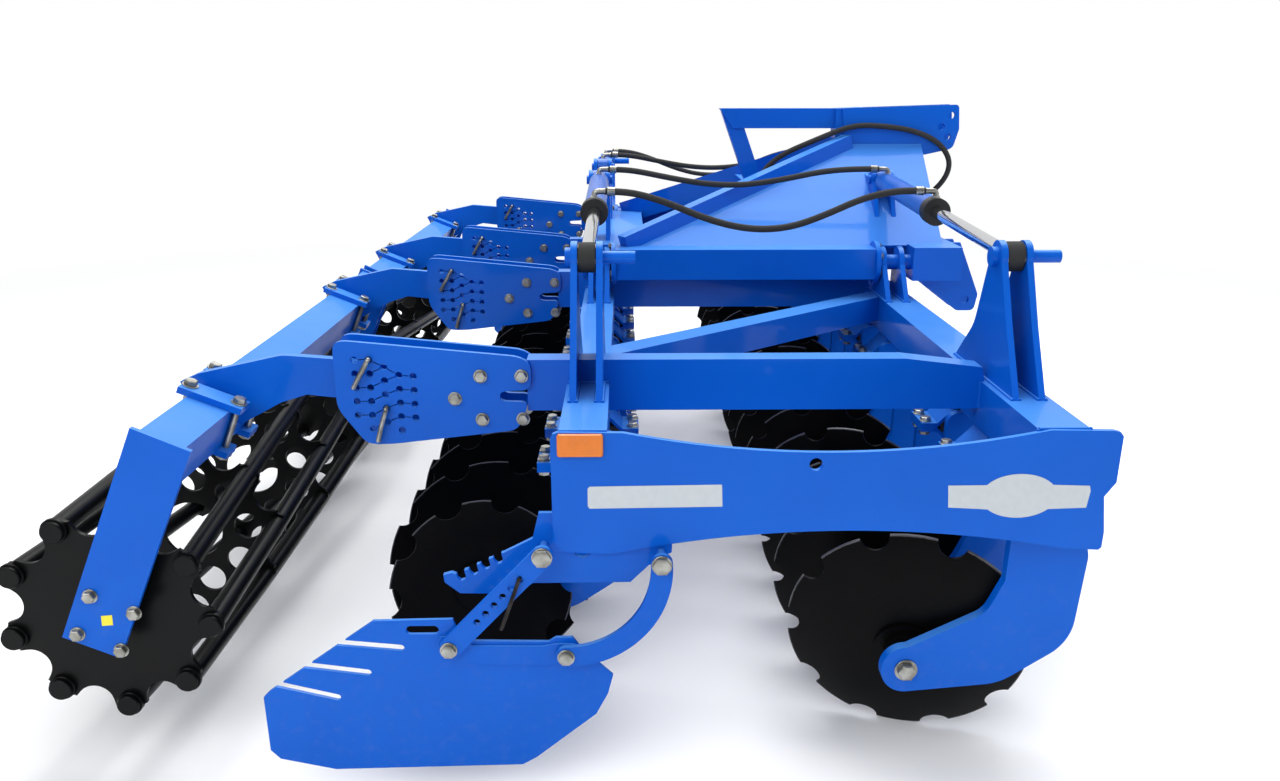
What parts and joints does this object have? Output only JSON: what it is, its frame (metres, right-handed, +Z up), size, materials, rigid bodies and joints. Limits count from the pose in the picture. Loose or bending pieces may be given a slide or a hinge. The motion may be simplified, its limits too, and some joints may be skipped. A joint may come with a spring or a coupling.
{
  "type": "folding disc harrow",
  "caption": "Folding mounted disc harrow: two wings of notched discs on rubber-damped arms, with bar rollers, side deflectors, fold cylinders and a three-point headstock.",
  "frame": {"origin": "on the ground under the middle of the machine, at the bottom centre of its bounding box", "axes": "+X to the tractor, +Y to the left of the machine, +Z up"},
  "size_m": [2.6409, 4.124, 1.4506],
  "materials": {
    "blue_paint": "gloss",
    "black_steel": "satin",
    "black_paint": "gloss",
    "chromed_rod": "polished",
    "black_rubber": "matt"
  },
  "bodies": {
    "root": {"centre_frame": "blue_paint", "headstock": "blue_paint"},
    "right_wing": {"right_wing_frame": "blue_paint", "right_side_panel": "blue_paint", "right_adjusting_plates": "blue_paint", "right_roller_frame": "blue_paint", "right_disc_arms": "blue_paint", "right_clamp_housings": "blue_paint", "right_dampers": "black_rubber"},
    "right_lift_barrels": {"right_lift_barrels": "black_paint"},
    "right_lift_rods": {"right_lift_rods": "chromed_rod"},
    "right_roller": {"right_roller": "black_paint"},
    "right_deflector_rear_link": {"right_deflector_rear_link": "blue_paint"},
    "right_deflector_front_link": {"right_deflector_front_link": "blue_paint"},
    "right_deflector_blade": {"right_deflector_blade": "blue_paint"},
    "left_wing": {"left_wing_frame": "blue_paint", "left_side_panel": "blue_paint", "left_adjusting_plates": "blue_paint", "left_roller_frame": "blue_paint", "left_disc_arms": "blue_paint", "left_clamp_housings": "blue_paint", "left_dampers": "black_rubber"},
    "left_lift_barrels": {"left_lift_barrels": "black_paint"},
    "left_lift_rods": {"left_lift_rods": "chromed_rod"},
    "left_roller": {"left_roller": "black_paint"},
    "left_deflector_rear_link": {"left_deflector_rear_link": "blue_paint"},
    "left_deflector_front_link": {"left_deflector_front_link": "blue_paint"},
    "left_deflector_blade": {"left_deflector_blade": "blue_paint"},
    "right_front_disc_1": {"right_front_disc_1": "black_steel"},
    "right_front_disc_2": {"right_front_disc_2": "black_steel"},
    "right_front_disc_3": {"right_front_disc_3": "black_steel"},
    "right_front_disc_4": {"right_front_disc_4": "black_steel"},
    "right_front_disc_5": {"right_front_disc_5": "black_steel"},
    "right_front_disc_6": {"right_front_disc_6": "black_steel"},
    "right_front_disc_7": {"right_front_disc_7": "black_steel"},
    "right_front_disc_8": {"right_front_disc_8": "black_steel"},
    "left_front_disc_1": {"left_front_disc_1": "black_steel"},
    "left_front_disc_2": {"left_front_disc_2": "black_steel"},
    "left_front_disc_3": {"left_front_disc_3": "black_steel"},
    "left_front_disc_4": {"left_front_disc_4": "black_steel"},
    "left_front_disc_5": {"left_front_disc_5": "black_steel"},
    "left_front_disc_6": {"left_front_disc_6": "black_steel"},
    "left_front_disc_7": {"left_front_disc_7": "black_steel"},
    "left_rear_disc_1": {"left_rear_disc_1": "black_steel"},
    "left_rear_disc_2": {"left_rear_disc_2": "black_steel"},
    "left_rear_disc_3": {"left_rear_disc_3": "black_steel"},
    "left_rear_disc_4": {"left_rear_disc_4": "black_steel"},
    "left_rear_disc_5": {"left_rear_disc_5": "black_steel"},
    "left_rear_disc_6": {"left_rear_disc_6": "black_steel"},
    "left_rear_disc_7": {"left_rear_disc_7": "black_steel"},
    "left_rear_disc_8": {"left_rear_disc_8": "black_steel"},
    "right_rear_disc_1": {"right_rear_disc_1": "black_steel"},
    "right_rear_disc_2": {"right_rear_disc_2": "black_steel"},
    "right_rear_disc_3": {"right_rear_disc_3": "black_steel"},
    "right_rear_disc_4": {"right_rear_disc_4": "black_steel"},
    "right_rear_disc_5": {"right_rear_disc_5": "black_steel"},
    "right_rear_disc_6": {"right_rear_disc_6": "black_steel"},
    "right_rear_disc_7": {"right_rear_disc_7": "black_steel"}
  },
  "joints": [
    {"name": "right_wing_fold", "type": "hinge", "parent": "root", "child": "right_wing", "pos_m": [0, -0.56, 0.95], "axis": [-1, 0, 0], "range_deg": [0, 90]},
    {"name": "right_barrel_swing", "type": "hinge", "parent": "root", "child": "right_lift_barrels", "pos_m": [0.4835, -0.3, 1.2], "axis": [-1, 0, 0], "range_deg": [0, 87.64]},
    {"name": "right_rod_slide", "type": "slide", "parent": "right_lift_barrels", "child": "right_lift_rods", "axis": [0, -0.9988, -0.0499], "range_m": [-0.5101, 0]},
    {"name": "right_roller_turn", "type": "hinge", "parent": "right_wing", "child": "right_roller", "pos_m": [-1.073, -1, 0.389], "axis": [0, 1, 0], "continuous": true},
    {"name": "right_deflector_rear_swing", "type": "hinge", "parent": "right_wing", "child": "right_deflector_rear_link", "pos_m": [-0.098, -2.044, 0.588], "axis": [0, -1, 0], "range_deg": [-10, 20]},
    {"name": "right_deflector_front_swing", "type": "hinge", "parent": "right_wing", "child": "right_deflector_front_link", "pos_m": [0.149, -2.044, 0.569], "axis": [0, -1, 0], "range_deg": [-10, 20]},
    {"name": "right_deflector_blade_pivot", "type": "hinge", "parent": "right_deflector_rear_link", "child": "right_deflector_blade", "pos_m": [-0.3, -2.044, 0.375], "axis": [0, -1, 0], "range_deg": [-20, 10]},
    {"name": "left_wing_fold", "type": "hinge", "parent": "root", "child": "left_wing", "pos_m": [0, 0.56, 0.95], "axis": [1, 0, 0], "range_deg": [0, 90]},
    {"name": "left_barrel_swing", "type": "hinge", "parent": "root", "child": "left_lift_barrels", "pos_m": [0.4835, 0.3, 1.2], "axis": [1, 0, 0], "range_deg": [0, 87.64]},
    {"name": "left_rod_slide", "type": "slide", "parent": "left_lift_barrels", "child": "left_lift_rods", "axis": [0, 0.9988, -0.0499], "range_m": [-0.5101, 0]},
    {"name": "left_roller_turn", "type": "hinge", "parent": "left_wing", "child": "left_roller", "pos_m": [-1.073, 1, 0.389], "axis": [0, 1, 0], "continuous": true},
    {"name": "left_deflector_rear_swing", "type": "hinge", "parent": "left_wing", "child": "left_deflector_rear_link", "pos_m": [-0.098, 2.044, 0.588], "axis": [0, -1, 0], "range_deg": [-10, 20]},
    {"name": "left_deflector_front_swing", "type": "hinge", "parent": "left_wing", "child": "left_deflector_front_link", "pos_m": [0.149, 2.044, 0.569], "axis": [0, -1, 0], "range_deg": [-10, 20]},
    {"name": "left_deflector_blade_pivot", "type": "hinge", "parent": "left_deflector_rear_link", "child": "left_deflector_blade", "pos_m": [-0.3, 2.044, 0.375], "axis": [0, -1, 0], "range_deg": [-20, 10]},
    {"name": "right_front_disc_1_turn", "type": "hinge", "parent": "right_wing", "child": "right_front_disc_1", "pos_m": [0.738, -1.81, 0.27558], "axis": [0.2602, 0.9447, 0.1994], "continuous": true},
    {"name": "right_front_disc_2_turn", "type": "hinge", "parent": "right_wing", "child": "right_front_disc_2", "pos_m": [0.738, -1.56, 0.27558], "axis": [0.2602, 0.9447, 0.1994], "continuous": true},
    {"name": "right_front_disc_3_turn", "type": "hinge", "parent": "right_wing", "child": "right_front_disc_3", "pos_m": [0.738, -1.31, 0.27558], "axis": [0.2602, 0.9447, 0.1994], "continuous": true},
    {"name": "right_front_disc_4_turn", "type": "hinge", "parent": "right_wing", "child": "right_front_disc_4", "pos_m": [0.738, -1.06, 0.27558], "axis": [0.2602, 0.9447, 0.1994], "continuous": true},
    {"name": "right_front_disc_5_turn", "type": "hinge", "parent": "right_wing", "child": "right_front_disc_5", "pos_m": [0.738, -0.81, 0.27558], "axis": [0.2602, 0.9447, 0.1994], "continuous": true},
    {"name": "right_front_disc_6_turn", "type": "hinge", "parent": "right_wing", "child": "right_front_disc_6", "pos_m": [0.738, -0.56, 0.27558], "axis": [0.2602, 0.9447, 0.1994], "continuous": true},
    {"name": "right_front_disc_7_turn", "type": "hinge", "parent": "right_wing", "child": "right_front_disc_7", "pos_m": [0.738, -0.31, 0.27558], "axis": [0.2602, 0.9447, 0.1994], "continuous": true},
    {"name": "right_front_disc_8_turn", "type": "hinge", "parent": "right_wing", "child": "right_front_disc_8", "pos_m": [0.738, -0.06, 0.27558], "axis": [0.2602, 0.9447, 0.1994], "continuous": true},
    {"name": "left_front_disc_1_turn", "type": "hinge", "parent": "left_wing", "child": "left_front_disc_1", "pos_m": [0.738, 0.19, 0.27558], "axis": [0.2602, 0.9447, 0.1994], "continuous": true},
    {"name": "left_front_disc_2_turn", "type": "hinge", "parent": "left_wing", "child": "left_front_disc_2", "pos_m": [0.738, 0.44, 0.27558], "axis": [0.2602, 0.9447, 0.1994], "continuous": true},
    {"name": "left_front_disc_3_turn", "type": "hinge", "parent": "left_wing", "child": "left_front_disc_3", "pos_m": [0.738, 0.69, 0.27558], "axis": [0.2602, 0.9447, 0.1994], "continuous": true},
    {"name": "left_front_disc_4_turn", "type": "hinge", "parent": "left_wing", "child": "left_front_disc_4", "pos_m": [0.738, 0.94, 0.27558], "axis": [0.2602, 0.9447, 0.1994], "continuous": true},
    {"name": "left_front_disc_5_turn", "type": "hinge", "parent": "left_wing", "child": "left_front_disc_5", "pos_m": [0.738, 1.19, 0.27558], "axis": [0.2602, 0.9447, 0.1994], "continuous": true},
    {"name": "left_front_disc_6_turn", "type": "hinge", "parent": "left_wing", "child": "left_front_disc_6", "pos_m": [0.738, 1.44, 0.27558], "axis": [0.2602, 0.9447, 0.1994], "continuous": true},
    {"name": "left_front_disc_7_turn", "type": "hinge", "parent": "left_wing", "child": "left_front_disc_7", "pos_m": [0.738, 1.69, 0.32558], "axis": [0.2602, 0.9447, 0.1994], "continuous": true},
    {"name": "left_rear_disc_1_turn", "type": "hinge", "parent": "left_wing", "child": "left_rear_disc_1", "pos_m": [-0.277, 1.81, 0.27558], "axis": [0.2602, -0.9447, 0.1994], "continuous": true},
    {"name": "left_rear_disc_2_turn", "type": "hinge", "parent": "left_wing", "child": "left_rear_disc_2", "pos_m": [-0.277, 1.56, 0.27558], "axis": [0.2602, -0.9447, 0.1994], "continuous": true},
    {"name": "left_rear_disc_3_turn", "type": "hinge", "parent": "left_wing", "child": "left_rear_disc_3", "pos_m": [-0.277, 1.31, 0.27558], "axis": [0.2602, -0.9447, 0.1994], "continuous": true},
    {"name": "left_rear_disc_4_turn", "type": "hinge", "parent": "left_wing", "child": "left_rear_disc_4", "pos_m": [-0.277, 1.06, 0.27558], "axis": [0.2602, -0.9447, 0.1994], "continuous": true},
    {"name": "left_rear_disc_5_turn", "type": "hinge", "parent": "left_wing", "child": "left_rear_disc_5", "pos_m": [-0.277, 0.81, 0.27558], "axis": [0.2602, -0.9447, 0.1994], "continuous": true},
    {"name": "left_rear_disc_6_turn", "type": "hinge", "parent": "left_wing", "child": "left_rear_disc_6", "pos_m": [-0.277, 0.56, 0.27558], "axis": [0.2602, -0.9447, 0.1994], "continuous": true},
    {"name": "left_rear_disc_7_turn", "type": "hinge", "parent": "left_wing", "child": "left_rear_disc_7", "pos_m": [-0.277, 0.31, 0.27558], "axis": [0.2602, -0.9447, 0.1994], "continuous": true},
    {"name": "left_rear_disc_8_turn", "type": "hinge", "parent": "left_wing", "child": "left_rear_disc_8", "pos_m": [-0.277, 0.06, 0.27558], "axis": [0.2602, -0.9447, 0.1994], "continuous": true},
    {"name": "right_rear_disc_1_turn", "type": "hinge", "parent": "right_wing", "child": "right_rear_disc_1", "pos_m": [-0.277, -0.19, 0.27558], "axis": [0.2602, -0.9447, 0.1994], "continuous": true},
    {"name": "right_rear_disc_2_turn", "type": "hinge", "parent": "right_wing", "child": "right_rear_disc_2", "pos_m": [-0.277, -0.44, 0.27558], "axis": [0.2602, -0.9447, 0.1994], "continuous": true},
    {"name": "right_rear_disc_3_turn", "type": "hinge", "parent": "right_wing", "child": "right_rear_disc_3", "pos_m": [-0.277, -0.69, 0.27558], "axis": [0.2602, -0.9447, 0.1994], "continuous": true},
    {"name": "right_rear_disc_4_turn", "type": "hinge", "parent": "right_wing", "child": "right_rear_disc_4", "pos_m": [-0.277, -0.94, 0.27558], "axis": [0.2602, -0.9447, 0.1994], "continuous": true},
    {"name": "right_rear_disc_5_turn", "type": "hinge", "parent": "right_wing", "child": "right_rear_disc_5", "pos_m": [-0.277, -1.19, 0.27558], "axis": [0.2602, -0.9447, 0.1994], "continuous": true},
    {"name": "right_rear_disc_6_turn", "type": "hinge", "parent": "right_wing", "child": "right_rear_disc_6", "pos_m": [-0.277, -1.44, 0.27558], "axis": [0.2602, -0.9447, 0.1994], "continuous": true},
    {"name": "right_rear_disc_7_turn", "type": "hinge", "parent": "right_wing", "child": "right_rear_disc_7", "pos_m": [-0.277, -1.69, 0.32558], "axis": [0.2602, -0.9447, 0.1994], "continuous": true}
  ],
  "couplings": [
    {"joint": "right_barrel_swing", "follows": "right_wing_fold", "ratio": 0.97155},
    {"joint": "right_rod_slide", "follows": "right_wing_fold", "m_per_rad": -0.32345},
    {"joint": "right_deflector_front_swing", "follows": "right_deflector_rear_swing", "ratio": 1},
    {"joint": "right_deflector_blade_pivot", "follows": "right_deflector_rear_swing", "ratio": -1},
    {"joint": "left_barrel_swing", "follows": "left_wing_fold", "ratio": 0.97155},
    {"joint": "left_rod_slide", "follows": "left_wing_fold", "m_per_rad": -0.32345},
    {"joint": "left_deflector_front_swing", "follows": "left_deflector_rear_swing", "ratio": 1},
    {"joint": "left_deflector_blade_pivot", "follows": "left_deflector_rear_swing", "ratio": -1}
  ]
}
